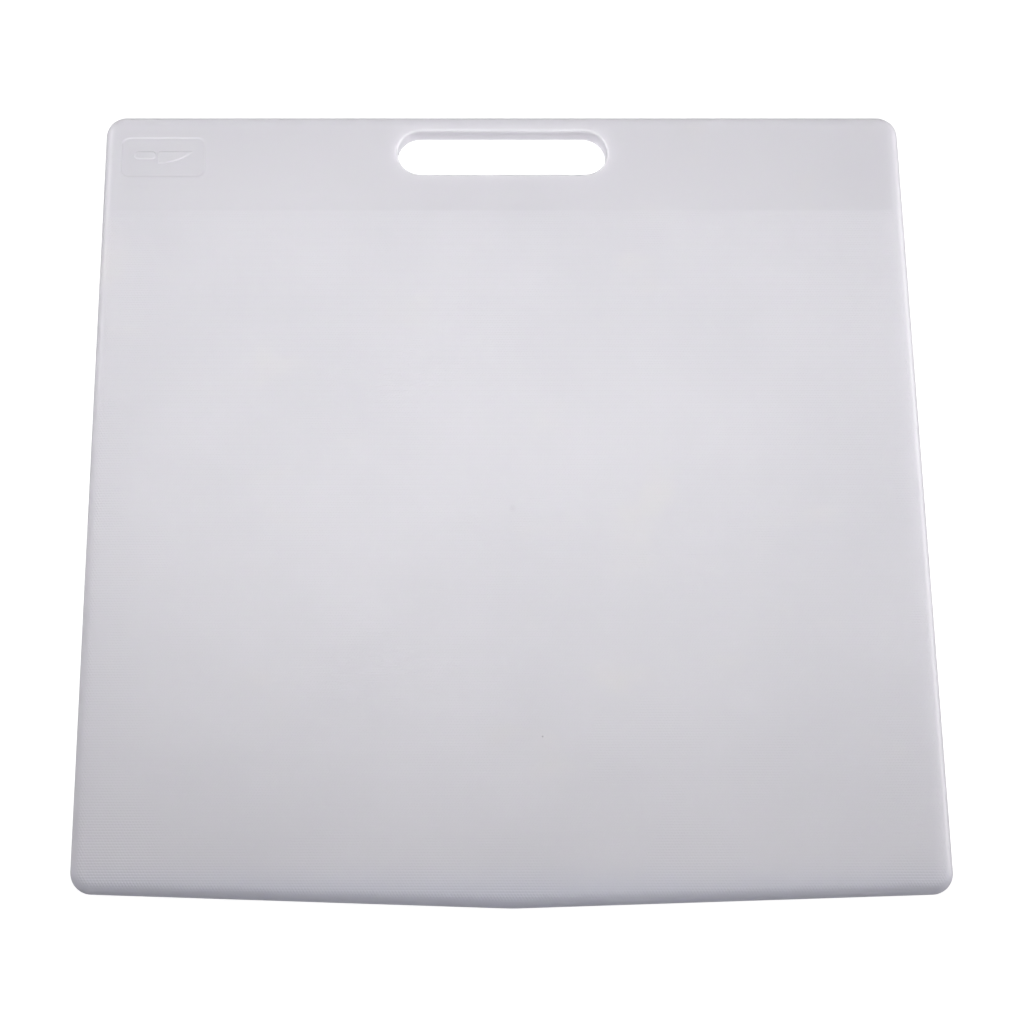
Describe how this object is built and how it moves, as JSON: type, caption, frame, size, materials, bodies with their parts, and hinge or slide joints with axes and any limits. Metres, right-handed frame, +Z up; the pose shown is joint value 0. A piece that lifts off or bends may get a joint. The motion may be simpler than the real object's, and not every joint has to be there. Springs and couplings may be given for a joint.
{
  "type": "cutting board",
  "caption": "Flat moulded plastic cutting board with a hand slot by its back edge, a finely dotted cutting face, a smooth grip band and a blunt pointed front edge",
  "frame": {"origin": "under the middle of the board, on the face it rests on", "axes": "+X across the board, +Y towards the hand slot, +Z up out of the cutting face"},
  "size_m": [0.3556, 0.3456, 0.0095],
  "materials": {
    "white_plastic": "natural white polyethylene, slightly translucent, fine dotted texture on the cutting faces and satin smooth on the grip band and edges"
  },
  "bodies": {
    "root": {"board": "white_plastic"}
  },
  "joints": []
}
